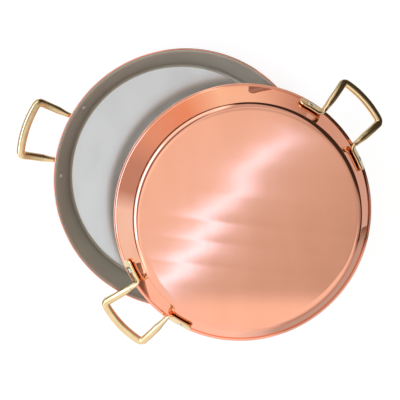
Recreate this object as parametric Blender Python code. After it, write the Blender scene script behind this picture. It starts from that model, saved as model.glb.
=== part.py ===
"""Pair of shallow round copper pans, one upside down on the other as its cover.

Run with: blender --background --python part.py
The lower pan stands open side up. Its twin lies upside down on it, rim on rim and pushed
aside. Each pan is a spun copper sheet with a steel lining and two cast brass loop handles,
and each handle is held by two steel rivets.
Metres, +Z up. The origin is the centre of the lower pan's underside, and +X runs along the
line through its two handles.
"""

import math

import bmesh
import bpy
from mathutils import Matrix, Vector

MM = 0.001

# Driving dimensions of one pan, in its own frame: base on z = 0, opening up.
RIM_RADIUS = 130 * MM
HEIGHT = 36 * MM
BASE_RADIUS = 112.8 * MM  # where the wall's outer face would meet the ground
CORNER_RADIUS = 6 * MM  # outer round between base and wall
COPPER = 1.6 * MM
LINING = 0.35 * MM
GAP = 0.3 * MM  # clearance kept between touching pieces

# The lip: the sheet bends outward at the rim, then runs straight to a round edge.
LIP_BEND_RADIUS = 2.0 * MM
LIP_ANGLE = math.radians(75)  # the lip's direction, from the vertical
LIP_RUN = 0.9 * MM
LINING_TURN = math.radians(35)  # the lining stops part of the way round the bend

# Handle casting. Heights are the pan's, and spans are half distances across the handle.
FOOT_Z = 26 * MM  # height of the foot's middle on the wall
FOOT_THICKNESS = 3.4 * MM
FOOT_WIDTH = 13 * MM
FOOT_TIP_SPAN = 47.8 * MM
ARM_BASE_SPAN = 22.8 * MM
GRIP_CORNER_SPAN = 27.6 * MM
GRIP_CORNER_REACH = 162.5 * MM  # from the pan's axis
GRIP_BOW = 4.0 * MM  # how far the grip's middle stands out past its corners
GRIP_Z = 42.0 * MM
ARM_SAG = 2.8 * MM  # how far the arm hangs below a straight line from foot to grip
RIVET_SPAN = 36.2 * MM
ARM_BEND_RUN = 6.0 * MM  # the foot stops this far before the arm's line
ARM_BEND_RADIUS = 5.2 * MM
CORNER_BEND_RADIUS = 4.6 * MM

# The bar's section, as (half thickness, half width), from the wall to the middle of the grip.
BAR_AT_WALL = (3.3 * MM, 3.6 * MM)
BAR_ON_ARM = (3.75 * MM, 3.5 * MM)
BAR_AT_CORNER = (4.0 * MM, 3.6 * MM)
BAR_AT_GRIP = (4.2 * MM, 3.7 * MM)
FOOT_SQUARENESS = 5  # superellipse power: 2 is an ellipse, and more is squarer
BAR_SQUARENESS = 2.5

# Rivets.
SHANK_RADIUS = 1.6 * MM
RIVET_HOLE_RADIUS = SHANK_RADIUS + GAP
RIVET_HEAD_RADIUS = 2.7 * MM
RIVET_HEAD_HEIGHT = 1.1 * MM
HOLE_CUT_DEPTH = 24 * MM

# Where the upper pan lies, seen from above.
UPPER_OFFSET = (67.4 * MM, -13.5 * MM)
UPPER_TURN = math.radians(61.4)

TURN_STEPS = 48
HEAD_STEPS = 12
SECTION_POINTS = 12


def solve_wall():
    """Flare of the wall from the vertical, and its top radius where the lip's bend starts."""
    flare = 0.0
    for _ in range(30):
        lip_width = (
            LIP_BEND_RADIUS * math.cos(flare)
            - (LIP_BEND_RADIUS + COPPER / 2) * math.cos(LIP_ANGLE)
            + LIP_RUN * math.sin(LIP_ANGLE)
            + COPPER / 2
        )
        lip_height = (
            (LIP_BEND_RADIUS + COPPER) * math.sin(LIP_ANGLE)
            + LIP_RUN * math.cos(LIP_ANGLE)
            - LIP_BEND_RADIUS * math.sin(flare)
        )
        top_radius = RIM_RADIUS - lip_width
        flare = math.atan2(top_radius - BASE_RADIUS, HEIGHT - lip_height)
    return flare, top_radius


FLARE, WALL_TOP_RADIUS = solve_wall()
WALL_UP = Vector((math.sin(FLARE), 0, math.cos(FLARE)))  # up the wall, at angle 0


def wall_radius(z):
    """Radius of the wall's outer face at height z."""
    return BASE_RADIUS + z * math.tan(FLARE)


def metal(name, colour, roughness):
    made = bpy.data.materials.new(name)
    made.use_nodes = True
    shader = made.node_tree.nodes["Principled BSDF"]
    shader.inputs["Base Color"].default_value = (*colour, 1)
    shader.inputs["Metallic"].default_value = 1.0
    shader.inputs["Roughness"].default_value = roughness
    return made


def add_object(name, shape, finish, parent):
    mesh = shape.copy()
    mesh.name = name
    mesh.materials.append(finish)
    mesh.shade_smooth()
    mesh.set_sharp_from_angle(angle=math.radians(35))
    made = bpy.data.objects.new(name, mesh)
    bpy.context.scene.collection.objects.link(made)
    made.parent = parent
    return made


def arc(centre, radius, start, end, steps):
    """Points of a round stretch of a profile, angles from the +r axis."""
    return [
        (
            centre[0] + radius * math.cos(start + (end - start) * i / steps),
            centre[1] + radius * math.sin(start + (end - start) * i / steps),
        )
        for i in range(steps + 1)
    ]


def sheet_face(depth, lip_turn, corner_steps, lip_steps):
    """(radius, height) points of the sheet's face this deep below its outer face, from the
    centre of the base to the lip."""
    tangent = CORNER_RADIUS * math.tan((math.pi / 2 - FLARE) / 2)
    corner_centre = (BASE_RADIUS - tangent, CORNER_RADIUS)
    wall_end_z = (WALL_TOP_RADIUS - BASE_RADIUS) / math.tan(FLARE)
    lip_centre = (
        WALL_TOP_RADIUS + LIP_BEND_RADIUS * math.cos(FLARE),
        wall_end_z - LIP_BEND_RADIUS * math.sin(FLARE),
    )
    bend = LIP_BEND_RADIUS + depth
    return (
        [(0, depth)]
        + arc(corner_centre, CORNER_RADIUS - depth, -math.pi / 2, -FLARE, corner_steps)
        + arc(lip_centre, bend, math.pi - FLARE, math.pi - FLARE - lip_turn, lip_steps)
    )


def turned_mesh(name, outline, steps):
    """Solid of revolution about Z of a closed (radius, height) outline."""
    bm = bmesh.new()
    points = [bm.verts.new((r, 0, z)) for r, z in outline]
    edges = [bm.edges.new(pair) for pair in zip(points, points[1:])]
    if outline[0][0] > 0:
        edges.append(bm.edges.new((points[-1], points[0])))
    bmesh.ops.spin(
        bm,
        geom=points + edges,
        cent=(0, 0, 0),
        axis=(0, 0, 1),
        angle=math.tau,
        steps=steps,
        use_merge=True,
    )
    bmesh.ops.remove_doubles(bm, verts=bm.verts, dist=0.001 * MM)  # the spin's points on the axis
    bmesh.ops.recalc_face_normals(bm, faces=bm.faces)
    mesh = bpy.data.meshes.new(name)
    bm.to_mesh(mesh)
    bm.free()
    return mesh


def shell_mesh():
    """The spun copper body: outer face, round lip edge, inner face."""
    lip_turn = LIP_ANGLE - FLARE
    outer = sheet_face(0, lip_turn, 4, 2)
    inner = sheet_face(COPPER, lip_turn, 3, 2)
    run = (LIP_RUN * math.sin(LIP_ANGLE), LIP_RUN * math.cos(LIP_ANGLE))
    edge_centre = (
        (outer[-1][0] + inner[-1][0]) / 2 + run[0],
        (outer[-1][1] + inner[-1][1]) / 2 + run[1],
    )
    edge = arc(edge_centre, COPPER / 2, -LIP_ANGLE, math.pi - LIP_ANGLE, 4)
    return turned_mesh("shell", outer + edge + inner[::-1], TURN_STEPS)


def lining_mesh():
    """The thin steel skin that covers the copper's inner face up to the lip."""
    outer = sheet_face(COPPER + GAP, LINING_TURN, 3, 1)
    inner = sheet_face(COPPER + GAP + LINING, LINING_TURN, 3, 1)
    return turned_mesh("lining", outer + inner[::-1], TURN_STEPS)


def rivet_mesh():
    """Rivet about Z, with z = 0 on the wall's outer face and +Z outward."""
    inside = -(COPPER + LINING + 2 * GAP)
    outside = FOOT_THICKNESS + 2 * GAP
    # A head's (radius, height over its flat), from the middle of its dome to its edge.
    dome = [
        (RIVET_HEAD_RADIUS * share, RIVET_HEAD_HEIGHT * (1 - 0.6 * share**2))
        for share in (0, 0.45, 0.85)
    ]
    outline = [(r, inside - height) for r, height in dome]
    outline += [(RIVET_HEAD_RADIUS, inside), (SHANK_RADIUS, inside)]
    outline += [(SHANK_RADIUS, outside), (RIVET_HEAD_RADIUS, outside)]
    outline += [(r, outside + height) for r, height in reversed(dome)]
    return turned_mesh("rivet", outline, HEAD_STEPS)


def fillet(before, corner, after, radius, steps):
    """Points of a round of this radius at a corner of a path."""
    back = (before - corner).normalized()
    ahead = (after - corner).normalized()
    half = back.angle(ahead) / 2
    centre = corner + (back + ahead).normalized() * (radius / math.sin(half))
    start = corner + back * (radius / math.tan(half)) - centre
    end = corner + ahead * (radius / math.tan(half)) - centre
    return [centre + start.slerp(end, i / steps) * radius for i in range(steps + 1)]


def superellipse(half_thickness, half_width, squareness, count):
    """A section's outline, as (through its thickness, across its width) pairs."""
    points = []
    for i in range(count):
        c = math.cos(math.tau * i / count)
        s = math.sin(math.tau * i / count)
        points.append(
            (
                half_thickness * math.copysign(abs(c) ** (2 / squareness), c),
                half_width * math.copysign(abs(s) ** (2 / squareness), s),
            )
        )
    return points


def handle_stations():
    """Half of the handle, from a foot's tip to the middle of the grip: (point, the section's
    up direction, its half thickness and half width, its squareness)."""
    stand_off = GAP + FOOT_THICKNESS / 2
    foot_radius = wall_radius(FOOT_Z) + stand_off * math.cos(FLARE)
    foot_z = FOOT_Z - stand_off * math.sin(FLARE)
    half_foot = FOOT_WIDTH / 2
    thin = FOOT_THICKNESS / 2
    tip_angle = math.asin(FOOT_TIP_SPAN / foot_radius)
    base_angle = math.asin(ARM_BASE_SPAN / foot_radius)
    round_end = tip_angle - half_foot / foot_radius
    bend_start = base_angle + ARM_BEND_RUN / foot_radius

    def on_wall(angle):
        return Vector((foot_radius * math.cos(angle), foot_radius * math.sin(angle), foot_z))

    def up_wall(angle):
        return Matrix.Rotation(angle, 3, "Z") @ WALL_UP

    stations = []
    for along in (0.05, 0.3, 1.0):  # the foot's half-round end
        angle = tip_angle - along * half_foot / foot_radius
        width = half_foot * math.sqrt(1 - (1 - along) ** 2)
        stations.append((on_wall(angle), up_wall(angle), (thin, width), FOOT_SQUARENESS))
    for share in (0.5, 1.0):  # the straight-sided foot
        angle = round_end + (bend_start - round_end) * share
        stations.append((on_wall(angle), up_wall(angle), (thin, half_foot), FOOT_SQUARENESS))

    base = on_wall(base_angle)
    corner = Vector((GRIP_CORNER_REACH, GRIP_CORNER_SPAN, GRIP_Z))
    arm = (corner - base).normalized()
    across = Vector((0, 1, 0))
    grip_up = arm.cross(across).normalized()
    outward = across.cross(grip_up).normalized()

    def arm_point(share):
        """On the sagging arm: share 0 is its base and 1 the grip's corner."""
        return base.lerp(corner, share) - Vector((0, 0, 4 * ARM_SAG * share * (1 - share)))

    def grip_point(share):
        """On the bowed grip: share 1 is its corner and 0 its middle."""
        straight = Vector((corner.x, corner.y * share, corner.z))
        return straight + outward * GRIP_BOW * (1 - share**2)

    bend = fillet(on_wall(bend_start), base, arm_point(0.3), ARM_BEND_RADIUS, 3)
    for i, point in enumerate(bend[1:], start=1):
        share = i / 4  # of the way from the foot's flat section to the bar's
        up = up_wall(base_angle).lerp(grip_up, share**3).normalized()
        half_thickness = thin + (BAR_AT_WALL[0] - thin) * share**2
        half_width = half_foot + (BAR_AT_WALL[1] - half_foot) * share
        squareness = FOOT_SQUARENESS + (BAR_SQUARENESS - FOOT_SQUARENESS) * share
        stations.append((point, up, (half_thickness, half_width), squareness))
    stations += [(arm_point(share), grip_up, BAR_ON_ARM, BAR_SQUARENESS) for share in (0.35, 0.65)]
    turn = fillet(arm_point(0.8), corner, grip_point(0.7), CORNER_BEND_RADIUS, 3)
    stations += [(point, grip_up, BAR_AT_CORNER, BAR_SQUARENESS) for point in turn]
    stations += [(grip_point(share), grip_up, BAR_AT_GRIP, BAR_SQUARENESS) for share in (0.45, 0)]
    return stations


def handle_mesh():
    """One cast loop: sections swept from foot tip to grip and mirrored across to the other foot."""
    half = handle_stations()
    mirrored = [
        (Vector((p.x, -p.y, p.z)), Vector((up.x, -up.y, up.z)), size, squareness)
        for p, up, size, squareness in half[-2::-1]
    ]
    stations = half + mirrored
    bm = bmesh.new()
    rings = []
    for i, (point, up, size, squareness) in enumerate(stations):
        before = stations[max(i - 1, 0)][0]
        after = stations[min(i + 1, len(stations) - 1)][0]
        tangent = (after - before).normalized()
        side = tangent.cross(up).normalized()
        square_up = side.cross(tangent).normalized()
        rings.append(
            [
                bm.verts.new(point + side * x + square_up * y)
                for x, y in superellipse(*size, squareness, SECTION_POINTS)
            ]
        )
    for one, two in zip(rings, rings[1:]):
        for i in range(SECTION_POINTS):
            j = (i + 1) % SECTION_POINTS
            bm.faces.new((one[i], one[j], two[j], two[i]))
    bm.faces.new(rings[0])
    bm.faces.new(rings[-1][::-1])
    bmesh.ops.recalc_face_normals(bm, faces=bm.faces)
    mesh = bpy.data.meshes.new("handle")
    bm.to_mesh(mesh)
    bm.free()
    return mesh


def rivet_places():
    """Matrix of each rivet in the pan's frame, by (handle side, end), with its +Z outward."""
    radius = wall_radius(FOOT_Z)
    half_angle = math.asin(RIVET_SPAN / radius)
    onto_wall = Matrix.Rotation(math.pi / 2 + FLARE, 4, "Y")
    places = {}
    for side, middle in (("right", 0.0), ("left", math.pi)):
        for end, angle in (("a", -half_angle), ("b", half_angle)):
            spin = Matrix.Rotation(middle + angle, 4, "Z")
            places[side, end] = spin @ Matrix.Translation((radius, 0, FOOT_Z)) @ onto_wall
    return places


def hole_cutter(name, places, parent):
    """A cylinder along every rivet, which cuts the holes in sheet, lining and feet."""
    bm = bmesh.new()
    for place in places.values():
        bmesh.ops.create_cone(
            bm,
            cap_ends=True,
            segments=HEAD_STEPS,
            radius1=RIVET_HOLE_RADIUS,
            radius2=RIVET_HOLE_RADIUS,
            depth=HOLE_CUT_DEPTH,
            matrix=place,
        )
    mesh = bpy.data.meshes.new(name)
    bm.to_mesh(mesh)
    bm.free()
    cutter = bpy.data.objects.new(name, mesh)
    bpy.context.scene.collection.objects.link(cutter)
    cutter.parent = parent
    cutter.hide_render = True
    cutter.display_type = "WIRE"
    return cutter


def cut_with(piece, cutter):
    modifier = piece.modifiers.new("rivet_holes", "BOOLEAN")
    modifier.operation = "DIFFERENCE"
    modifier.solver = "EXACT"
    modifier.object = cutter


def build_pan(prefix, placement, meshes):
    """One complete pan: shell, lining, two handles and four rivets."""
    frame = bpy.data.objects.new(prefix + "_pan_frame", None)
    bpy.context.scene.collection.objects.link(frame)
    frame.matrix_world = placement
    places = rivet_places()
    cutter = hole_cutter(prefix + "_rivet_hole_cutter", places, frame)

    copper = metal(prefix + "_copper", (0.86, 0.46, 0.32), 0.18)
    shell = add_object(prefix + "_copper_shell", meshes["shell"], copper, frame)
    cut_with(shell, cutter)
    steel = metal(prefix + "_lining_steel", (0.62, 0.61, 0.59), 0.35)
    lining = add_object(prefix + "_steel_lining", meshes["lining"], steel, frame)
    cut_with(lining, cutter)
    for side, turn in (("right", 0.0), ("left", math.pi)):
        brass = metal(f"{prefix}_{side}_brass", (0.78, 0.60, 0.30), 0.22)
        handle = add_object(f"{prefix}_handle_{side}", meshes["handle"], brass, frame)
        handle.rotation_euler.z = turn
        cut_with(handle, cutter)
    for (side, end), place in places.items():
        steel = metal(f"{prefix}_rivet_{side}_{end}_steel", (0.70, 0.70, 0.70), 0.25)
        rivet = add_object(f"{prefix}_rivet_{side}_{end}", meshes["rivet"], steel, frame)
        rivet.matrix_local = place


def upper_placement():
    """Upside down, turned, and laid rim on rim with the lower pan."""
    lift = 2 * HEIGHT + GAP
    place = Matrix.Translation((*UPPER_OFFSET, lift))
    return place @ Matrix.Rotation(UPPER_TURN, 4, "Z") @ Matrix.Rotation(math.pi, 4, "X")


def main():
    for old in list(bpy.data.objects):
        bpy.data.objects.remove(old, do_unlink=True)
    meshes = {
        "shell": shell_mesh(),
        "lining": lining_mesh(),
        "handle": handle_mesh(),
        "rivet": rivet_mesh(),
    }
    build_pan("lower", Matrix.Identity(4), meshes)
    build_pan("upper", upper_placement(), meshes)


main()
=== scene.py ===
"""The looks of the copper pan pair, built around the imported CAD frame.

Every CAD node is replaced by a finer piece of the same shape in the same place. A pan's pieces
are modelled in the pan's own frame, with its base on z = 0 and its opening up, and then placed
where the frame has that pan. Metres, +Z up.
"""

import math

import bmesh
import bpy
from mathutils import Matrix, Vector


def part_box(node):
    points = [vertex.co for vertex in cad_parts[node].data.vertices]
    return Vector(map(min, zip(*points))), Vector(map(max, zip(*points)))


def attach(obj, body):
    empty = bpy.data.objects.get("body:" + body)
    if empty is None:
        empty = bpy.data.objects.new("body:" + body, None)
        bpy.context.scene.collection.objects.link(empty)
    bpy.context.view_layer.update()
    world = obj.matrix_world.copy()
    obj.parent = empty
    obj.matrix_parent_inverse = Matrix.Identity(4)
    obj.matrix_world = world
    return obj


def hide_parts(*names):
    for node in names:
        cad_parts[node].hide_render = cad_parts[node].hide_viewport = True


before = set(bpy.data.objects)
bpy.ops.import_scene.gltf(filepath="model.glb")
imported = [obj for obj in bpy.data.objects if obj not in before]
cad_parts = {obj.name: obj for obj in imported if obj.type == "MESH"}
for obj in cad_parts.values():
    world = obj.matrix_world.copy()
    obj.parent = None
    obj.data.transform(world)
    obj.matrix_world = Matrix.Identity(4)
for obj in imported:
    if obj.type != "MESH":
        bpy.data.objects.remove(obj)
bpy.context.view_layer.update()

MM = 0.001
MILLIRADIAN = 0.001

# One pan's sheet metal, partly read from the frame.
SHELL_LOW, SHELL_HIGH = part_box("lower_copper_shell")
RIM_RADIUS = (SHELL_HIGH.x - SHELL_LOW.x) / 2
HEIGHT = SHELL_HIGH.z - SHELL_LOW.z
CAD_GAP = 0.3 * MM  # between touching CAD solids
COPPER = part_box("lower_steel_lining")[0].z - SHELL_LOW.z - CAD_GAP
LINING = 0.35 * MM
BOND = 0.02 * MM  # the lining is rolled onto the copper, so almost no gap shows
BASE_RADIUS = 112.8 * MM  # where the wall's outer face would meet the ground
CORNER_RADIUS = 6 * MM
LIP_BEND_RADIUS = 2.0 * MM
LIP_ANGLE = math.radians(75)  # the lip's direction, from the vertical
LIP_RUN = 0.9 * MM

# The handle casting. Heights are the pan's, and spans are half distances across the handle.
FOOT_Z = 26 * MM
FOOT_THICKNESS = 3.4 * MM
FOOT_WIDTH = 13 * MM
FOOT_TIP_SPAN = 47.8 * MM
ARM_BASE_SPAN = 22.8 * MM
GRIP_CORNER_SPAN = 27.6 * MM
GRIP_CORNER_REACH = 162.5 * MM  # from the pan's axis
GRIP_BOW = 4.0 * MM
GRIP_Z = 42.0 * MM
ARM_SAG = 2.8 * MM
RIVET_SPAN = 36.2 * MM
ARM_BEND_RUN = 6.0 * MM
ARM_BEND_RADIUS = 5.2 * MM
CORNER_BEND_RADIUS = 4.6 * MM
BAR_AT_WALL = (3.3 * MM, 3.6 * MM)  # half thickness and half width
BAR_ON_ARM = (3.75 * MM, 3.5 * MM)
BAR_AT_CORNER = (4.0 * MM, 3.6 * MM)
BAR_AT_GRIP = (4.2 * MM, 3.7 * MM)
FOOT_SQUARENESS = 3
BAR_SQUARENESS = 2.3
SHANK_RADIUS = 1.6 * MM
RIVET_HEAD_RADIUS = 2.7 * MM
RIVET_HEAD_HEIGHT = 1.1 * MM
RIVET_HEAD_SKIRT = 0.25  # share of the head's height that stands straight at its edge
FOOT_TIP_THINNING = 0.62  # share of the foot's thickness that is left at its very tip

# Shares of an arm, from the wall to the grip's corner, and of the half grip, from its middle.
FOOT_BEND_AIM = 0.3  # the bend off the wall turns towards this point of the arm
FOOT_BEND_SHARE = 0.75  # how far the section has changed from foot to bar by the bend's end
ARM_START = 0.2
ARM_RUN = 0.66
ARM_SETTLING = 3  # the arm's section settles in the first 1 / 3 of its run
CORNER_BEND_AIMS = (0.8, 0.7)  # the corner's bend turns from one to the other
GRIP_RUN = 0.84
GRIP_SETTLING = 2  # and the grip's in the first 1 / 2

# Fineness of the meshes.
TURN_STEPS = 288
BASE_RINGS = 40
HIDDEN_BASE_RINGS = 8  # on the faces where copper and lining touch
CORNER_STEPS = 16
WALL_STEPS = 12
LIP_STEPS = 10
EDGE_STEPS = 12
FOOT_STEPS = 12
FOOT_BEND_STEPS = 14
ARM_STEPS = 28
CORNER_BEND_STEPS = 12
GRIP_STEPS = 48
RIVET_STEPS = 40
DOME_STEPS = 10
SECTION_POINTS = 72

# The brushed grain of the flat faces, as an angle in the pieces' own frame.
COPPER_GRAIN = math.radians(71.8)
STEEL_GRAIN = math.radians(108.2)

# The unevenness of a base: (mm along the grain from the centre, milliradians that the surface
# leans across it), then the mm and the milliradians that the row covers.
RIPPLES = (
    (-101, 0.0),
    (-84, 4.2),
    (-64, 1.6),
    (-48, 0.2),
    (-24, 2.6),
    (-17, 0.6),
    (-8, 0.2),
    (5, -1.6),
    (9, 2.4),
    (14, 2.2),
    (26, 0.2),
    (30, 3.2),
    (36, 3.2),
    (50, 0.6),
    (54, 3.2),
    (61, 2.8),
    (76, 0.0),
    (80, 0.4),
)
RIPPLE_FROM = -101 * MM
RIPPLE_TO = 80 * MM
RIPPLE_LEAST = -6.0
RIPPLE_MOST = 6.0
RIPPLE_SLOPE = 0.12  # how much the ripples slant across the grain
RIPPLE_SWING = 0.5 * MILLIRADIAN  # of a random unevenness on top

# Colours, each with the one that it drifts to in patches.
BASE_COLOURS = ((0.93, 0.437, 0.287), (0.90, 0.42, 0.272))
WALL_COLOURS = ((0.93, 0.44, 0.31), (0.90, 0.40, 0.27))
LINING_FLOOR_COLOURS = ((0.66, 0.66, 0.65), (0.62, 0.62, 0.61))
# The lining's wall is the same steel as its floor, but it is coloured darker and warmer: painted
# shade, and a painted warm reflection of the copper.
LINING_WALL_PAINTED_SHADE_COLOURS = ((0.46, 0.425, 0.36), (0.43, 0.395, 0.33))
BRASS_COLOURS = ((0.84, 0.65, 0.38), (0.77, 0.57, 0.31))
RIVET_COLOURS = ((0.78, 0.77, 0.75), (0.66, 0.65, 0.63))
COPPER_EDGE = (1.0, 0.80, 0.70, 1)  # what the metal tends to at a glancing view

# Stretches of a noise's values, over which a look changes from one end to the other.
NARROW_BAND = (0.35, 0.65)
MIDDLE_BAND = (0.3, 0.7)
WIDE_BAND = (0.25, 0.75)
WIDEST_BAND = (0.2, 0.8)
TARNISH_BAND = (0.35, 0.7)

# Roughness, and the depth of the fine relief.
BASE_ROUGHNESS = (0.038, 0.055)
BASE_DIRECTION = 0.85  # from 0 to 1, how much rougher the base is across its grain than along it
BASE_RELIEF = 0.0006 * MM
WALL_ROUGHNESS = (0.025, 0.06)
WALL_RELIEF = 0.0008 * MM
LINING_FLOOR_ROUGHNESS = (0.23, 0.27)
LINING_FLOOR_RELIEF = 0.0004 * MM
LINING_WALL_ROUGHNESS = (0.56, 0.60)
LINING_WALL_RELIEF = 0.0010 * MM
BRASS_ROUGHNESS = (0.17, 0.25)
BRASS_RELIEF = 0.08 * MM
RIVET_ROUGHNESS = (0.16, 0.26)
RIVET_RELIEF = 0.03 * MM

# The studio's walls. Azimuths and elevations are in degrees, and a level is a strength of light.
DARK_LEVEL = 0.05
# Lit zones: azimuth from and to, elevation from and to, softness of each, level.
LIT_ZONES = (
    (116, 232, 2, 50, 10, 5, 1.35),
    (116, 222, 55, 65, 10, 4, 0.5),
    (165, 216, 20, 42, 10, 4, 2.0),
    (120, 225, 72, 90, 12, 5, 0.20),
    (240, 298, -90, 90, 18, 6, 1.05),
    (312, 352, -90, 16, 12, 14, 0.52),
    (312, 352, 30, 90, 12, 14, 0.82),
    (112, 236, -90, -28, 12, 6, 0.80),
    (-20, 14, 20, 90, 10, 8, 0.45),
    (-20, 112, -62, -32, 10, 6, 0.66),
    (-20, 112, -90, -60, 10, 6, 0.15),
)
DARK_WALL_SIDES = (14, 112, 12)  # azimuth from and to, and softness
DARK_WALL_TOP = (20, 100, 74, 16)  # two azimuths, and the elevations of its sloping top there
ABOVE_WALL_SOFTNESS = 6
ABOVE_WALL_LEVEL = 0.62

# The studio's ceiling. Places on it are measured from the point straight overhead, as shares of
# its height, in two slanting directions. A step is (place from, place to, value up to the
# first, value past the second).
CEILING_CENTRE = (340, 72)  # azimuth and elevation
CEILING_EDGE = (20, 22.5)  # degrees from its centre
CEILING_LEAST_RISE = 0.05  # directions flatter than this count as this steep
CEILING_ACROSS = (0.949, -0.3155, 0)
CEILING_ALONG = (0.304, -0.953, 0)
LEVEL_STEP_ACROSS = (0.190, 0.208, 0.98, 0.78)
LEFT_GAIN_ACROSS = (0.134, 0.160, 1.32, 1.0)
RIGHT_LOSS_ACROSS = (0.21, 0.27, 0.0, -0.15)
NEAR_GAIN_ALONG = (0.078, 0.102, 0.74, 1.0)
STRIP_PLACE_ACROSS = 0.2
STRIP_HALF_WIDTH_ALONG = (0.132, 0.152, 0.0040, 0.0052)
STRIP_START_ALONG = (0.098, 0.118, 0.0, 1.0)
STRIP_FADE = 0.8  # share of the half width over which the strip gains its full level
STRIP_LEVEL = 2.5
PANEL_START_ALONG = (0.180, 0.190, 0.0, 1.0)
PANEL_LEVEL = 1.1

# Weak light is warm, and the strip and the strongest light are cool.
WARM_LIGHT = (1.0, 0.84, 0.68)
WHITE_LIGHT = (1.0, 1.0, 1.0)
COOL_LIGHT = (0.72, 1.05, 1.75)
WARM_TO_WHITE = (0.1, 0.75)  # levels
COOL_STRIP = (0.1, 0.8)  # the strip's levels
COOL_STEP = (2.2, 3.2, 0, 0.7)  # two levels, and the share of cool light at each

# The lamp under the upper pan: its width, its power in watts, and how far below the base it is.
FILL_WIDTH = 206 * MM
FILL_POWER = 0.13
FILL_DROP = 8 * MM
FILL_SPREAD = math.radians(112)

# The card between the pans: its two edges (radius round the upper pan, height), how far round
# it runs in degrees, and its light at some of those angles.
CARD_EDGES = ((131 * MM, 16 * MM), (149 * MM, 46 * MM))
CARD_FROM = 76
CARD_TO = 224
CARD_STEPS = 48
CARD_COLOURS = (
    (77, (0.55, 0.45, 0.40)),
    (92, (0.80, 0.75, 0.68)),
    (104, (1.0, 1.0, 0.90)),
    (120, (1.05, 1.1, 0.95)),
    (138, (0.90, 0.58, 0.40)),
    (160, (0.83, 0.63, 0.52)),
    (174, (0.60, 0.52, 0.48)),
    (188, (0.60, 0.52, 0.48)),
    (197, (1.0, 1.2, 1.25)),
    (222, (1.0, 1.15, 1.15)),
)

# The floor, just low enough that the lower pan's base doesn't touch it.
FLOOR_Z = -0.2 * MM
FLOOR_HALF = 4.0
FLOOR_COLOUR = (0.3, 0.3, 0.3, 1)
FLOOR_ROUGHNESS = 0.9
FLOOR_GLOW = 0.8

# Where the camera stands: tilt from straight down, its side, and the picture's right, as
# world angles. The aim is the point at the picture's centre.
VIEW_TILT = math.radians(11.0)
VIEW_SIDE = math.radians(152.1)
PICTURE_RIGHT = math.radians(18.2)
AIM = Vector((21.7 * MM, -14.8 * MM, 36 * MM))
VIEW_DISTANCE = 2.2
SENSOR = 36.0  # mm
PICTURE_WIDTH = 397.9 * MM  # of the plane through the aim


# ---------------------------------------------------------------- shapes of the sheet metal


def solve_wall():
    """Flare of the wall from the vertical, and its top radius where the lip's bend starts."""
    flare = 0.0
    for _ in range(30):
        lip_width = (
            LIP_BEND_RADIUS * math.cos(flare)
            - (LIP_BEND_RADIUS + COPPER / 2) * math.cos(LIP_ANGLE)
            + LIP_RUN * math.sin(LIP_ANGLE)
            + COPPER / 2
        )
        lip_height = (
            (LIP_BEND_RADIUS + COPPER) * math.sin(LIP_ANGLE)
            + LIP_RUN * math.cos(LIP_ANGLE)
            - LIP_BEND_RADIUS * math.sin(flare)
        )
        top_radius = RIM_RADIUS - lip_width
        flare = math.atan2(top_radius - BASE_RADIUS, HEIGHT - lip_height)
    return flare, top_radius


FLARE, WALL_TOP_RADIUS = solve_wall()
WALL_UP = Vector((math.sin(FLARE), 0, math.cos(FLARE)))
FLAT_RADIUS = BASE_RADIUS - CORNER_RADIUS * math.tan((math.pi / 2 - FLARE) / 2)


def wall_radius(z):
    """Radius of the wall's outer face at height z."""
    return BASE_RADIUS + z * math.tan(FLARE)


def arc(centre, radius, start, end, steps):
    """Points of a round stretch of a profile, angles from the +r axis."""
    return [
        (
            centre[0] + radius * math.cos(start + (end - start) * i / steps),
            centre[1] + radius * math.sin(start + (end - start) * i / steps),
        )
        for i in range(steps + 1)
    ]


def between(start, end, steps):
    """Points inside a straight stretch of a profile, without its ends."""
    return [
        (start[0] + (end[0] - start[0]) * i / steps, start[1] + (end[1] - start[1]) * i / steps)
        for i in range(1, steps)
    ]


def sheet_face(depth, base_rings, lip_depth=None):
    """(radius, height) points of the sheet's face this deep below its outer face, from the
    centre of the base to the lip's edge, and the index where the flat base ends. The depth
    eases to lip_depth along the lip's bend."""
    if lip_depth is None:
        lip_depth = depth
    corner_centre = (FLAT_RADIUS, CORNER_RADIUS)
    wall_end_z = (WALL_TOP_RADIUS - BASE_RADIUS) / math.tan(FLARE)
    lip_centre = (
        WALL_TOP_RADIUS + LIP_BEND_RADIUS * math.cos(FLARE),
        wall_end_z - LIP_BEND_RADIUS * math.sin(FLARE),
    )
    corner = arc(corner_centre, CORNER_RADIUS - depth, -math.pi / 2, -FLARE, CORNER_STEPS)
    lip = []
    for i in range(LIP_STEPS + 1):
        share = i / LIP_STEPS
        angle = math.pi - FLARE - (LIP_ANGLE - FLARE) * share
        bend = LIP_BEND_RADIUS + depth + (lip_depth - depth) * share
        lip.append((lip_centre[0] + bend * math.cos(angle), lip_centre[1] + bend * math.sin(angle)))
    base = [(0, depth)] + between((0, depth), corner[0], base_rings)
    return base + corner + between(corner[-1], lip[0], WALL_STEPS) + lip, len(base)


def along_lip(point, run):
    """A point this far on from the end of the lip's bend."""
    return (point[0] + run * math.sin(LIP_ANGLE), point[1] + run * math.cos(LIP_ANGLE))


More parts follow.
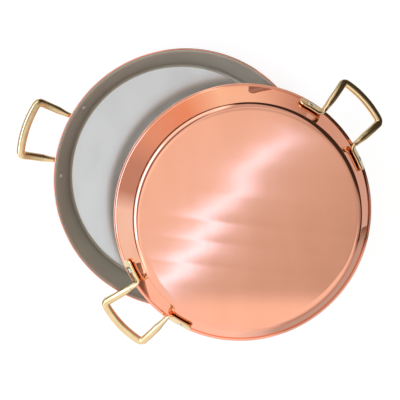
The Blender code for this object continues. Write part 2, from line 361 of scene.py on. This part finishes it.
def turned_mesh(name, outline, slots, steps):
    """Solid of revolution about Z of a closed (radius, height) outline. A slot is the material
    index of the band that starts at the same point of the outline."""
    bm = bmesh.new()
    rings = []
    for r, z in outline:
        if r < 0.001 * MM:
            rings.append([bm.verts.new((0, 0, z))] * steps)
        else:
            angles = [math.tau * i / steps for i in range(steps)]
            rings.append([bm.verts.new((r * math.cos(a), r * math.sin(a), z)) for a in angles])
    pairs = list(zip(rings, rings[1:], slots))
    if outline[0][0] > 0:
        pairs.append((rings[-1], rings[0], slots[-1]))
    for one, two, slot in pairs:
        for i in range(steps):
            j = (i + 1) % steps
            corners = list(dict.fromkeys((one[i], one[j], two[j], two[i])))
            bm.faces.new(corners).material_index = slot
    bmesh.ops.recalc_face_normals(bm, faces=bm.faces)
    mesh = bpy.data.meshes.new(name)
    bm.to_mesh(mesh)
    bm.free()
    mesh.shade_smooth()
    return mesh


def shell_mesh():
    """The spun copper body. Slot 0 is its flat base and slot 1 the rest."""
    outer, base_end = sheet_face(0, BASE_RINGS)
    inner, _ = sheet_face(COPPER, HIDDEN_BASE_RINGS, COPPER - LINING - BOND)
    low = along_lip(outer[-1], LIP_RUN)
    high = along_lip(sheet_face(COPPER, HIDDEN_BASE_RINGS)[0][-1], LIP_RUN)
    edge_centre = ((low[0] + high[0]) / 2, (low[1] + high[1]) / 2)
    edge = arc(edge_centre, COPPER / 2, -LIP_ANGLE, math.pi - LIP_ANGLE, EDGE_STEPS)
    step = [along_lip(inner[-1], LIP_RUN - LINING), along_lip(inner[-1], LIP_RUN - LINING - BOND)]
    outline = outer + edge + step + inner[::-1]
    slots = [0 if i < base_end else 1 for i in range(len(outline))]
    return turned_mesh("shell", outline, slots, TURN_STEPS)


def lining_mesh():
    """The steel skin on the copper's inner face. Slot 0 is its flat floor and slot 1 the rest."""
    outer, _ = sheet_face(COPPER + BOND, HIDDEN_BASE_RINGS, COPPER - LINING)
    inner, base_end = sheet_face(COPPER + BOND + LINING, BASE_RINGS, COPPER)
    outer.append(along_lip(outer[-1], LIP_RUN - LINING - 2 * BOND))
    inner.append(along_lip(inner[-1], LIP_RUN - LINING - 2 * BOND))
    outline = inner + outer[::-1]
    slots = [0 if i < base_end else 1 for i in range(len(outline))]
    return turned_mesh("lining", outline, slots, TURN_STEPS)


def rivet_mesh():
    """Rivet about Z, with z = 0 on the wall's outer face and +Z outward."""
    inside = -(COPPER + LINING + BOND)
    outside = FOOT_THICKNESS + CAD_GAP
    dome = []
    for i in range(DOME_STEPS + 1):
        angle = math.pi / 2 * i / DOME_STEPS
        rise = RIVET_HEAD_SKIRT + (1 - RIVET_HEAD_SKIRT) * math.cos(angle)
        dome.append((RIVET_HEAD_RADIUS * math.sin(angle), RIVET_HEAD_HEIGHT * rise))
    outline = [(r, inside - height) for r, height in dome]
    outline += [(RIVET_HEAD_RADIUS, inside), (SHANK_RADIUS, inside)]
    outline += [(SHANK_RADIUS, outside), (RIVET_HEAD_RADIUS, outside)]
    outline += [(r, outside + height) for r, height in reversed(dome)]
    mesh = turned_mesh("rivet", outline, [0] * len(outline), RIVET_STEPS)
    mesh.set_sharp_from_angle(angle=math.radians(40))
    return mesh


# ---------------------------------------------------------------- shapes of the handles


def fillet(before, corner, after, radius, steps):
    """Points of a round of this radius at a corner of a path."""
    back = (before - corner).normalized()
    ahead = (after - corner).normalized()
    half = back.angle(ahead) / 2
    centre = corner + (back + ahead).normalized() * (radius / math.sin(half))
    start = corner + back * (radius / math.tan(half)) - centre
    end = corner + ahead * (radius / math.tan(half)) - centre
    return [centre + start.slerp(end, i / steps) * radius for i in range(steps + 1)]


def superellipse(half_thickness, half_width, squareness, count):
    """A section's outline, as (through its thickness, across its width) pairs."""
    points = []
    for i in range(count):
        c = math.cos(math.tau * i / count)
        s = math.sin(math.tau * i / count)
        points.append(
            (
                half_thickness * math.copysign(abs(c) ** (2 / squareness), c),
                half_width * math.copysign(abs(s) ** (2 / squareness), s),
            )
        )
    return points


def mix_pair(one, two, share):
    """The pair that lies this share of the way from one to two."""
    return tuple(a + (b - a) * share for a, b in zip(one, two))


def handle_stations():
    """Half of the handle, from a foot's tip to the middle of the grip: (point, the section's
    up direction, its half thickness and half width, its squareness)."""
    stand_off = CAD_GAP + FOOT_THICKNESS / 2
    foot_radius = wall_radius(FOOT_Z) + stand_off * math.cos(FLARE)
    foot_z = FOOT_Z - stand_off * math.sin(FLARE)
    half_foot = FOOT_WIDTH / 2
    thin = FOOT_THICKNESS / 2
    tip_angle = math.asin(FOOT_TIP_SPAN / foot_radius)
    base_angle = math.asin(ARM_BASE_SPAN / foot_radius)
    round_end = tip_angle - half_foot / foot_radius
    bend_start = base_angle + ARM_BEND_RUN / foot_radius

    def on_wall(angle):
        """The middle of the foot's thickness, this far round the pan's axis."""
        return Vector((foot_radius * math.cos(angle), foot_radius * math.sin(angle), foot_z))

    def up_wall(angle):
        """The direction up the sloping wall there."""
        return Matrix.Rotation(angle, 3, "Z") @ WALL_UP

    stations = []
    for i in range(1, FOOT_STEPS + 1):  # the foot's half-round end
        quarter = math.pi / 2 * i / FOOT_STEPS
        angle = tip_angle - (1 - math.cos(quarter)) * half_foot / foot_radius
        width = half_foot * math.sin(quarter)
        height = thin * (FOOT_TIP_THINNING + (1 - FOOT_TIP_THINNING) * math.sin(quarter))
        stations.append((on_wall(angle), up_wall(angle), (height, width), FOOT_SQUARENESS))
    for i in range(1, FOOT_STEPS + 1):  # the straight-sided foot
        angle = round_end + (bend_start - round_end) * i / FOOT_STEPS
        stations.append((on_wall(angle), up_wall(angle), (thin, half_foot), FOOT_SQUARENESS))

    base = on_wall(base_angle)
    corner = Vector((GRIP_CORNER_REACH, GRIP_CORNER_SPAN, GRIP_Z))
    arm = (corner - base).normalized()
    across = Vector((0, 1, 0))
    grip_up = arm.cross(across).normalized()
    outward = across.cross(grip_up).normalized()

    def arm_point(share):
        """On the sagging arm: share 0 is its base and 1 the grip's corner."""
        return base.lerp(corner, share) - Vector((0, 0, 4 * ARM_SAG * share * (1 - share)))

    def grip_point(share):
        """On the bowed grip: share 1 is its corner and 0 its middle."""
        straight = Vector((corner.x, corner.y * share, corner.z))
        return straight + outward * GRIP_BOW * (1 - share**2)

    aim = arm_point(FOOT_BEND_AIM)
    bend = fillet(on_wall(bend_start), base, aim, ARM_BEND_RADIUS, FOOT_BEND_STEPS)
    for i, point in enumerate(bend[1:], start=1):
        share = FOOT_BEND_SHARE * i / FOOT_BEND_STEPS
        up = up_wall(base_angle).lerp(grip_up, share**3).normalized()
        half_thickness = thin + (BAR_AT_WALL[0] - thin) * share**2
        half_width = half_foot + (BAR_AT_WALL[1] - half_foot) * share
        squareness = FOOT_SQUARENESS + (BAR_SQUARENESS - FOOT_SQUARENESS) * share
        stations.append((point, up, (half_thickness, half_width), squareness))
    size_here = stations[-1][2]
    up_here = stations[-1][1]
    squareness_here = stations[-1][3]
    for i in range(1, ARM_STEPS):
        share = i / ARM_STEPS
        settle = min(1, share * ARM_SETTLING)
        size = mix_pair(mix_pair(size_here, BAR_ON_ARM, settle), BAR_AT_CORNER, share**2)
        up = up_here.lerp(grip_up, settle).normalized()
        squareness = squareness_here + (BAR_SQUARENESS - squareness_here) * settle
        stations.append((arm_point(ARM_START + ARM_RUN * share), up, size, squareness))
    before = arm_point(CORNER_BEND_AIMS[0])
    after = grip_point(CORNER_BEND_AIMS[1])
    turn = fillet(before, corner, after, CORNER_BEND_RADIUS, CORNER_BEND_STEPS)
    stations += [(point, grip_up, BAR_AT_CORNER, BAR_SQUARENESS) for point in turn]
    for i in range(1, GRIP_STEPS + 1):
        share = i / GRIP_STEPS
        size = mix_pair(BAR_AT_CORNER, BAR_AT_GRIP, min(1, GRIP_SETTLING * share))
        stations.append((grip_point(GRIP_RUN * (1 - share)), grip_up, size, BAR_SQUARENESS))
    return stations


def handle_mesh():
    """One cast loop: sections swept from foot tip to grip and mirrored across to the other foot."""
    half = handle_stations()
    mirrored = [
        (Vector((p.x, -p.y, p.z)), Vector((up.x, -up.y, up.z)), size, squareness)
        for p, up, size, squareness in half[-2::-1]
    ]
    stations = half + mirrored
    bm = bmesh.new()
    rings = []
    for i, (point, up, size, squareness) in enumerate(stations):
        before = stations[max(i - 1, 0)][0]
        after = stations[min(i + 1, len(stations) - 1)][0]
        tangent = (after - before).normalized()
        side = tangent.cross(up).normalized()
        square_up = side.cross(tangent).normalized()
        rings.append(
            [
                bm.verts.new(point + side * x + square_up * y)
                for x, y in superellipse(*size, squareness, SECTION_POINTS)
            ]
        )
    for one, two in zip(rings, rings[1:]):
        for i in range(SECTION_POINTS):
            j = (i + 1) % SECTION_POINTS
            bm.faces.new((one[i], one[j], two[j], two[i]))
    bm.faces.new(rings[0])
    bm.faces.new(rings[-1][::-1])
    bmesh.ops.recalc_face_normals(bm, faces=bm.faces)
    mesh = bpy.data.meshes.new("handle")
    bm.to_mesh(mesh)
    bm.free()
    mesh.shade_smooth()
    return mesh


def rivet_places():
    """Matrix of each rivet in the pan's frame, by (handle side, end), with its +Z outward."""
    radius = wall_radius(FOOT_Z)
    half_angle = math.asin(RIVET_SPAN / radius)
    onto_wall = Matrix.Rotation(math.pi / 2 + FLARE, 4, "Y")
    places = {}
    for side, middle in (("right", 0.0), ("left", math.pi)):
        for end, angle in (("a", -half_angle), ("b", half_angle)):
            spin = Matrix.Rotation(middle + angle, 4, "Z")
            places[side, end] = spin @ Matrix.Translation((radius, 0, FOOT_Z)) @ onto_wall
    return places


# ---------------------------------------------------------------- materials


class Nodes:
    """Short calls for building one node tree."""

    def __init__(self, tree):
        self.tree = tree

    def add(self, kind, settings=None, **inputs):
        """A node with its settings, and its inputs set to a value or linked from a socket.
        An input is named by its label with _ for a space, or by _ and its index."""
        made = self.tree.nodes.new(kind)
        for name, value in (settings or {}).items():
            setattr(made, name, value)
        for name, value in inputs.items():
            key = int(name[1:]) if name[0] == "_" else name.replace("_", " ")
            self.feed(made.inputs[key], value)
        return made

    def feed(self, socket, value):
        """Gives an input a link from an output, or a constant value."""
        if isinstance(value, bpy.types.NodeSocket):
            self.tree.links.new(value, socket)
        else:
            socket.default_value = value

    def math(self, operation, *values):
        made = self.add("ShaderNodeMath", {"operation": operation})
        for socket, value in zip(made.inputs, values):
            self.feed(socket, value)
        return made.outputs[0]

    def vector(self, operation, *values):
        made = self.add("ShaderNodeVectorMath", {"operation": operation})
        for socket, value in zip(made.inputs, values):
            self.feed(socket, value)
        return made.outputs["Value" if operation in ("DOT_PRODUCT", "LENGTH") else "Vector"]

    def remap(self, value, low, high, new_low, new_high, smooth=False):
        """Carries low to new_low and high to new_high, and stays there outside the two."""
        kind = {"interpolation_type": "SMOOTHSTEP"} if smooth else {}
        made = self.add("ShaderNodeMapRange", kind, Value=value)
        for name, number in zip(
            ("From Min", "From Max", "To Min", "To Max"), (low, high, new_low, new_high)
        ):
            self.feed(made.inputs[name], number)
        return made.outputs[0]

    def noise(self, vector, detail):
        """A noise whose features are about one unit of the vector wide."""
        made = self.add(
            "ShaderNodeTexNoise", Vector=vector, Scale=1.0, Detail=detail, Roughness=0.5
        )
        return made.outputs["Fac"]

    def scaled(self, vector, factor):
        made = self.add("ShaderNodeVectorMath", {"operation": "SCALE"})
        self.feed(made.inputs[0], vector)
        self.feed(made.inputs["Scale"], factor)
        return made.outputs[0]

    def bump(self, height, depth):
        """The normal of a surface with this relief, this deep."""
        made = self.add("ShaderNodeBump", Height=height, Strength=1.0, Distance=depth)
        return made.outputs[0]

    def ramp(self, share, stops, interpolation):
        """The colour at this share of the way along a row of (place from 0 to 1, colour)."""
        made = self.add("ShaderNodeValToRGB", Fac=share)
        made.color_ramp.interpolation = interpolation
        elements = made.color_ramp.elements
        while len(elements) < len(stops):
            elements.new(0.5)
        for element, (place, colour) in zip(elements, stops):
            element.position = place
            element.color = (*colour, 1)
        return made.outputs[0]

    def azimuth(self, vector):
        """A vector's azimuth, in degrees from 0 to 360."""
        parts = self.add("ShaderNodeSeparateXYZ", Vector=vector)
        angle = self.math("ARCTAN2", parts.outputs[1], parts.outputs[0])
        return self.math("WRAP", self.math("DEGREES", angle), 360.0, 0.0)

    def mix(self, share, one, two):
        """The colour that lies this share of the way from one to two."""
        made = self.add("ShaderNodeMix", {"data_type": "RGBA"})
        self.feed(made.inputs[0], share)
        self.feed(made.inputs[6], (*one, 1) if isinstance(one, tuple) else one)
        self.feed(made.inputs[7], (*two, 1) if isinstance(two, tuple) else two)
        return made.outputs[2]

    def stretched(self, turn, along, across):
        """Object coordinates turned about Z, in units of these lengths along and across."""
        place = self.add("ShaderNodeTexCoord").outputs["Object"]
        made = self.add("ShaderNodeMapping", {"vector_type": "TEXTURE"}, Vector=place)
        made.inputs["Rotation"].default_value = (0, 0, turn)
        made.inputs["Scale"].default_value = (along, across, across)
        return made.outputs[0]

    def around(self, turn_length, fine):
        """Coordinates that run slowly round the Z axis and quickly across the profile."""
        place = self.add("ShaderNodeTexCoord").outputs["Object"]
        parts = self.add("ShaderNodeSeparateXYZ", Vector=place)
        flat = self.add("ShaderNodeCombineXYZ", X=parts.outputs[0], Y=parts.outputs[1])
        radius = self.vector("LENGTH", flat.outputs[0])
        wide = self.scaled(self.vector("NORMALIZE", flat.outputs[0]), RIM_RADIUS / turn_length)
        height = self.math("MULTIPLY", self.math("ADD", radius, parts.outputs[2]), 1 / fine)
        lift = self.add("ShaderNodeCombineXYZ", Z=height)
        return self.vector("ADD", wide, lift.outputs[0])


def new_material(name):
    """A material, the short calls for its node tree, and its shader."""
    made = bpy.data.materials.new(name)
    made.use_nodes = True
    return made, Nodes(made.node_tree), made.node_tree.nodes["Principled BSDF"]


def set_metal(nodes, shader, colour, roughness, normal):
    """Sets what every metal here has."""
    shader.inputs["Metallic"].default_value = 1.0
    nodes.feed(shader.inputs["Base Color"], colour)
    nodes.feed(shader.inputs["Roughness"], roughness)
    nodes.feed(shader.inputs["Normal"], normal)


def drift(nodes, patches, band_of_values, colours):
    """A colour that goes from one to another as the patches go through this band of values."""
    return nodes.mix(nodes.remap(patches, *band_of_values, 0, 1), *colours)


def brushed_copper():
    """The flat base: copper brushed one way, so that it blurs what it mirrors across the grain
    and keeps it sharp along the grain."""
    made, nodes, shader = new_material("brushed_copper")
    fine = nodes.noise(nodes.stretched(COPPER_GRAIN, 60 * MM, 0.9 * MM), 3.0)
    broad = nodes.noise(nodes.stretched(COPPER_GRAIN, 90 * MM, 30 * MM), 2.0)
    across = nodes.add(
        "ShaderNodeCombineXYZ", X=-math.sin(COPPER_GRAIN), Y=math.cos(COPPER_GRAIN), Z=0.0
    )
    world_across = nodes.add(
        "ShaderNodeVectorTransform",
        {"vector_type": "VECTOR", "convert_from": "OBJECT", "convert_to": "WORLD"},
        Vector=across.outputs[0],
    ).outputs[0]
    shader.inputs["Anisotropic"].default_value = BASE_DIRECTION
    nodes.feed(shader.inputs["Tangent"], world_across)
    lean = nodes.scaled(world_across, sheet_ripple(nodes))
    uneven = nodes.vector("ADD", nodes.bump(fine, BASE_RELIEF), lean)
    set_metal(
        nodes,
        shader,
        drift(nodes, broad, NARROW_BAND, BASE_COLOURS),
        nodes.remap(fine, *WIDEST_BAND, *BASE_ROUGHNESS),
        nodes.vector("NORMALIZE", uneven),
    )
    return made


def sheet_ripple(nodes):
    """How far the base's surface leans across the grain, in radians: the slight unevenness of a
    hand-finished sheet, which bends the reflections."""
    parts = nodes.add("ShaderNodeSeparateXYZ", Vector=nodes.stretched(COPPER_GRAIN, 1, 1))
    slope = nodes.math("MULTIPLY", parts.outputs[1], RIPPLE_SLOPE)
    along = nodes.math("ADD", parts.outputs[0], slope)
    stops = []
    for where, lean in RIPPLES:
        place = (where * MM - RIPPLE_FROM) / (RIPPLE_TO - RIPPLE_FROM)
        level = (lean - RIPPLE_LEAST) / (RIPPLE_MOST - RIPPLE_LEAST)
        stops.append((place, (level, level, level)))
    level = nodes.ramp(nodes.remap(along, RIPPLE_FROM, RIPPLE_TO, 0, 1), stops, "EASE")
    lean = nodes.remap(level, 0, 1, RIPPLE_LEAST * MILLIRADIAN, RIPPLE_MOST * MILLIRADIAN)
    swing = nodes.noise(nodes.stretched(COPPER_GRAIN, 25 * MM, 60 * MM), 1.0)
    swing = nodes.remap(swing, *MIDDLE_BAND, -RIPPLE_SWING, RIPPLE_SWING)
    return nodes.math("ADD", lean, swing)


def polished_copper():
    """Wall, corner and lip: bright, with faint turning lines and a little tarnish."""
    made, nodes, shader = new_material("polished_copper")
    lines = nodes.noise(nodes.around(60 * MM, 0.8 * MM), 3.0)
    clouds = nodes.noise(nodes.stretched(0, 45 * MM, 45 * MM), 3.0)
    shader.inputs["Specular Tint"].default_value = COPPER_EDGE
    set_metal(
        nodes,
        shader,
        drift(nodes, clouds, TARNISH_BAND, WALL_COLOURS),
        nodes.remap(lines, *WIDE_BAND, *WALL_ROUGHNESS),
        nodes.bump(lines, WALL_RELIEF),
    )
    return made


def satin_steel(name, colours, roughness, relief, turned):
    """The lining, brushed straight on its floor and round the axis where turned."""
    made, nodes, shader = new_material(name)
    if turned:
        place = nodes.around(40 * MM, 0.7 * MM)
    else:
        place = nodes.stretched(STEEL_GRAIN, 50 * MM, 0.8 * MM)
    lines = nodes.noise(place, 3.0)
    clouds = nodes.noise(nodes.stretched(STEEL_GRAIN, 60 * MM, 30 * MM), 2.0)
    set_metal(
        nodes,
        shader,
        drift(nodes, clouds, NARROW_BAND, colours),
        nodes.remap(lines, *WIDE_BAND, *roughness),
        nodes.bump(lines, relief),
    )
    return made


def polished_brass():
    """The castings: bright, a little uneven, with browner patches."""
    made, nodes, shader = new_material("polished_brass")
    clouds = nodes.noise(nodes.stretched(0, 14 * MM, 14 * MM), 3.0)
    waves = nodes.noise(nodes.stretched(0, 7 * MM, 7 * MM), 1.0)
    set_metal(
        nodes,
        shader,
        drift(nodes, clouds, MIDDLE_BAND, BRASS_COLOURS),
        nodes.remap(clouds, *MIDDLE_BAND, *BRASS_ROUGHNESS),
        nodes.bump(waves, BRASS_RELIEF),
    )
    return made


def rivet_steel():
    """Bright steel, dimpled by the hammer."""
    made, nodes, shader = new_material("rivet_steel")
    dimples = nodes.noise(nodes.stretched(0, 1.2 * MM, 1.2 * MM), 1.0)
    set_metal(
        nodes,
        shader,
        drift(nodes, dimples, MIDDLE_BAND, RIVET_COLOURS),
        nodes.remap(dimples, *MIDDLE_BAND, *RIVET_ROUGHNESS),
        nodes.bump(dimples, RIVET_RELIEF),
    )
    return made


# ---------------------------------------------------------------- putting the pans together


def rivet_middle(pan, side):
    """The point between a handle's two rivets."""
    total = Vector((0, 0, 0))
    for end in ("a", "b"):
        low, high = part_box(f"{pan}_rivet_{side}_{end}")
        total += (low + high) / 4
    return total


def pan_placement(pan, upside_down):
    """Where the frame has this pan: the object matrix its pieces share, and the turn about the
    pan's own axis that their meshes get first."""
    low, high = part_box(f"{pan}_copper_shell")
    centre = (low + high) / 2
    handle_line = rivet_middle(pan, "right") - rivet_middle(pan, "left")
    turn = math.atan2(handle_line.y, handle_line.x)
    if upside_down:
        on_top = Matrix.Translation((centre.x, centre.y, high.z))
        return on_top @ Matrix.Rotation(math.pi, 4, "X"), Matrix.Rotation(-turn, 4, "Z")
    return Matrix.Translation((centre.x, centre.y, low.z)), Matrix.Rotation(turn, 4, "Z")


def add_piece(name, mesh, in_pan, materials, place, body, node):
    """One visible piece, made from a copy of the mesh moved to its place in the pan."""
    own = mesh.copy()
    own.transform(in_pan)
    own.name = name
    for finish in materials:
        own.materials.append(finish)
    piece = bpy.data.objects.new(name, own)
    bpy.context.scene.collection.objects.link(piece)
    piece.matrix_world = place
    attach(piece, body)
    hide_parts(node)


def build_pan(pan, upside_down, meshes, finishes):
    """All eight pieces of one pan."""
    place, turned = pan_placement(pan, upside_down)
    body = f"{pan}_pan"
    pieces = [
        (f"{pan}_copper_shell", "shell", turned, ("base", "wall"), "copper"),
        (f"{pan}_steel_lining", "lining", turned, ("lining_floor", "lining_wall"), "lining_steel"),
    ]
    for side, turn in (("right", 0.0), ("left", math.pi)):
        in_pan = turned @ Matrix.Rotation(turn, 4, "Z")
        pieces.append((f"{pan}_handle_{side}", "handle", in_pan, ("brass",), "brass"))
    for (side, end), where in rivet_places().items():
        in_pan = turned @ where
        pieces.append((f"{pan}_rivet_{side}_{end}", "rivet", in_pan, ("rivet",), "rivet_steel"))
    for node, mesh, in_pan, wanted, slot in pieces:
        materials = [finishes[name] for name in wanted]
        add_piece(f"{node}_fine", meshes[mesh], in_pan, materials, place, body, node)


# ---------------------------------------------------------------- studio


def band(nodes, value, low, high, soft):
    """1 where the value lies between low and high, easing to 0 over this much outside."""
    rise = nodes.remap(value, low - soft, low, 0, 1, True)
    fall = nodes.remap(value, high, high + soft, 1, 0, True)
    return nodes.math("MULTIPLY", rise, fall)


def walls_level(nodes, azimuth, elevation):
    """How bright the studio is below its ceiling."""
    level = DARK_LEVEL
    for from_side, to_side, low, high, side_soft, height_soft, strength in LIT_ZONES:
        share = nodes.math(
            "MULTIPLY",
            band(nodes, azimuth, from_side, to_side, side_soft),
            band(nodes, elevation, low, high, height_soft),
        )
        level = nodes.math("ADD", level, nodes.math("MULTIPLY", share, strength))
    over_top = nodes.math("SUBTRACT", elevation, nodes.remap(azimuth, *DARK_WALL_TOP))
    above = nodes.remap(over_top, 0, ABOVE_WALL_SOFTNESS, 0, ABOVE_WALL_LEVEL, True)
    above = nodes.math("MULTIPLY", above, band(nodes, azimuth, *DARK_WALL_SIDES))
    return nodes.math("ADD", level, above)


def strip_level(nodes, across, along):
    """The narrow lamp in the ceiling."""
    half = nodes.remap(along, *STRIP_HALF_WIDTH_ALONG, True)
    off = nodes.math("ABSOLUTE", nodes.math("SUBTRACT", across, STRIP_PLACE_ACROSS))
    inside = nodes.math("SUBTRACT", 1.0, nodes.math("DIVIDE", off, half))
    level = nodes.math("MULTIPLY", nodes.remap(inside, 0.0, STRIP_FADE, 0, 1, True), STRIP_LEVEL)
    return nodes.math("MULTIPLY", level, nodes.remap(along, *STRIP_START_ALONG, True))


def ceiling_levels(nodes, direction, rise):
    """The ceiling with all its lamps, and the narrow lamp alone."""
    steep = nodes.math("MAXIMUM", rise, CEILING_LEAST_RISE)
    place = nodes.scaled(direction, nodes.math("DIVIDE", 1.0, steep))
    across = nodes.vector("DOT_PRODUCT", place, CEILING_ACROSS)
    along = nodes.vector("DOT_PRODUCT", place, CEILING_ALONG)
    strip = strip_level(nodes, across, along)
    level = nodes.remap(across, *LEVEL_STEP_ACROSS, True)
    level = nodes.math("MULTIPLY", level, nodes.remap(across, *LEFT_GAIN_ACROSS, True))
    level = nodes.math("ADD", level, nodes.remap(across, *RIGHT_LOSS_ACROSS))
    level = nodes.math("ADD", level, strip)
    level = nodes.math("MULTIPLY", level, nodes.remap(along, *NEAR_GAIN_ALONG, True))
    panel = nodes.remap(along, *PANEL_START_ALONG, True)
    level = nodes.math("MULTIPLY", level, nodes.remap(panel, 0, 1, 1, 0))
    return nodes.math("ADD", level, nodes.math("MULTIPLY", panel, PANEL_LEVEL)), strip


def unit_vector(azimuth, elevation):
    """The direction of this azimuth and elevation, in degrees."""
    side = math.radians(azimuth)
    rise = math.radians(elevation)
    return (math.cos(rise) * math.cos(side), math.cos(rise) * math.sin(side), math.sin(rise))


def build_world():
    """A studio with its lamps on one side and overhead, and a dark wall on the other side."""
    world = bpy.data.worlds.new("studio")
    bpy.context.scene.world = world
    world.use_nodes = True
    nodes = Nodes(world.node_tree)
    back = world.node_tree.nodes["Background"]
    direction = nodes.add("ShaderNodeTexCoord").outputs["Generated"]
    rise = nodes.add("ShaderNodeSeparateXYZ", Vector=direction).outputs[2]
    elevation = nodes.math("DEGREES", nodes.math("ARCSINE", rise))
    walls = walls_level(nodes, nodes.azimuth(direction), elevation)
    ceiling, strip = ceiling_levels(nodes, direction, rise)
    to_centre = nodes.vector("DOT_PRODUCT", direction, unit_vector(*CEILING_CENTRE))
    away = nodes.math("DEGREES", nodes.math("ARCCOSINE", to_centre))
    overhead = nodes.remap(away, *CEILING_EDGE, 1, 0, True)
    total = nodes.math(
        "ADD",
        nodes.math("MULTIPLY", ceiling, overhead),
        nodes.math("MULTIPLY", walls, nodes.remap(overhead, 0, 1, 1, 0)),
    )
    warm = nodes.mix(nodes.remap(total, *WARM_TO_WHITE, 0, 1), WARM_LIGHT, WHITE_LIGHT)
    cool = nodes.math(
        "MAXIMUM",
        nodes.remap(nodes.math("MULTIPLY", strip, overhead), *COOL_STRIP, 0, 1),
        nodes.remap(total, *COOL_STEP),
    )
    nodes.feed(back.inputs["Color"], nodes.mix(cool, warm, COOL_LIGHT))
    nodes.feed(back.inputs["Strength"], total)


def add_fill_light():
    """A wide soft lamp under the upper pan, for the light that finds its way in there."""
    centre = pan_placement("upper", True)[0].translation
    data = bpy.data.lights.new("fill", "AREA")
    data.shape = "DISK"
    data.size = FILL_WIDTH
    data.energy = FILL_POWER
    data.spread = FILL_SPREAD
    lamp = bpy.data.objects.new("fill", data)
    lamp.location = (centre.x, centre.y, centre.z - FILL_DROP)
    lamp.visible_camera = False
    bpy.context.scene.collection.objects.link(lamp)


def add_bounce_card():
    """A curved card held between the pans on the left, which only reflections see. It lights
    the upper pan's wall there, where the wall mirrors the dark gap between the pans."""
    centre = pan_placement("upper", True)[0].translation
    points = []
    for i in range(CARD_STEPS + 1):
        angle = math.radians(CARD_FROM + (CARD_TO - CARD_FROM) * i / CARD_STEPS)
        for radius, height in CARD_EDGES:
            points.append((radius * math.cos(angle), radius * math.sin(angle), height))
    faces = [(2 * i, 2 * i + 1, 2 * i + 3, 2 * i + 2) for i in range(CARD_STEPS)]
    mesh = bpy.data.meshes.new("bounce_card")
    mesh.from_pydata(points, [], faces)
    card = bpy.data.objects.new("bounce_card", mesh)
    card.location = (centre.x, centre.y, 0)
    bpy.context.scene.collection.objects.link(card)
    made = bpy.data.materials.new("bounce_card")
    made.use_nodes = True
    nodes = Nodes(made.node_tree)
    made.node_tree.nodes.clear()
    azimuth = nodes.azimuth(nodes.add("ShaderNodeTexCoord").outputs["Object"])
    share = nodes.remap(azimuth, CARD_FROM, CARD_TO, 0, 1)
    stops = [((at - CARD_FROM) / (CARD_TO - CARD_FROM), colour) for at, colour in CARD_COLOURS]
    colour = nodes.ramp(share, stops, "LINEAR")
    glow = nodes.add("ShaderNodeEmission", Color=colour, Strength=1.0)
    clear = nodes.add("ShaderNodeBsdfTransparent")
    side = nodes.add("ShaderNodeNewGeometry").outputs["Backfacing"]
    both = nodes.add("ShaderNodeMixShader", Fac=side, _1=glow.outputs[0], _2=clear.outputs[0])
    nodes.add("ShaderNodeOutputMaterial", Surface=both.outputs[0])
    mesh.materials.append(made)
    card.visible_camera = False
    card.visible_diffuse = False
    card.visible_transmission = False
    card.visible_shadow = False


def build_floor():
    """A pale floor that glows a little and that reflections don't see."""
    mesh = bpy.data.meshes.new("floor")
    signs = ((-1, -1), (1, -1), (1, 1), (-1, 1))
    corners = [(FLOOR_HALF * x, FLOOR_HALF * y, FLOOR_Z) for x, y in signs]
    mesh.from_pydata(corners, [], [(0, 1, 2, 3)])
    floor = bpy.data.objects.new("floor", mesh)
    bpy.context.scene.collection.objects.link(floor)
    made, nodes, shader = new_material("pale_floor")
    shader.inputs["Base Color"].default_value = FLOOR_COLOUR
    shader.inputs["Roughness"].default_value = FLOOR_ROUGHNESS
    shader.inputs["Specular IOR Level"].default_value = 0.0
    shader.inputs["Emission Color"].default_value = (1, 1, 1, 1)
    shader.inputs["Emission Strength"].default_value = FLOOR_GLOW
    mesh.materials.append(made)
    floor.visible_glossy = False


def add_camera():
    """The camera, which looks down at the pans from one side."""
    towards = Vector(
        (
            math.sin(VIEW_TILT) * math.cos(VIEW_SIDE),
            math.sin(VIEW_TILT) * math.sin(VIEW_SIDE),
            math.cos(VIEW_TILT),
        )
    )
    right = Vector((math.cos(PICTURE_RIGHT), math.sin(PICTURE_RIGHT), 0))
    right = (right - towards * right.dot(towards)).normalized()
    up = towards.cross(right)
    data = bpy.data.cameras.new("camera")
    data.sensor_width = SENSOR
    data.lens = SENSOR * VIEW_DISTANCE / PICTURE_WIDTH
    data.clip_end = 20
    camera = bpy.data.objects.new("camera", data)
    bpy.context.scene.collection.objects.link(camera)
    turn = Matrix((right, up, towards)).transposed().to_4x4()
    camera.matrix_world = Matrix.Translation(AIM + towards * VIEW_DISTANCE) @ turn
    bpy.context.scene.camera = camera


def main():
    add_camera()
    bpy.context.scene.view_settings.view_transform = "Standard"
    meshes = {
        "shell": shell_mesh(),
        "lining": lining_mesh(),
        "handle": handle_mesh(),
        "rivet": rivet_mesh(),
    }
    finishes = {
        "base": brushed_copper(),
        "wall": polished_copper(),
        "lining_floor": satin_steel(
            "lining_floor_steel",
            LINING_FLOOR_COLOURS,
            LINING_FLOOR_ROUGHNESS,
            LINING_FLOOR_RELIEF,
            turned=False,
        ),
        # The wall's colours are painted shade and a painted warm reflection of the copper on the
        # same steel as the floor.
        "lining_wall": satin_steel(
            "lining_wall_steel_painted_shade",
            LINING_WALL_PAINTED_SHADE_COLOURS,
            LINING_WALL_ROUGHNESS,
            LINING_WALL_RELIEF,
            turned=True,
        ),
        "brass": polished_brass(),
        "rivet": rivet_steel(),
    }
    build_pan("lower", False, meshes, finishes)
    build_pan("upper", True, meshes, finishes)
    build_world()
    add_fill_light()
    add_bounce_card()
    build_floor()


main()
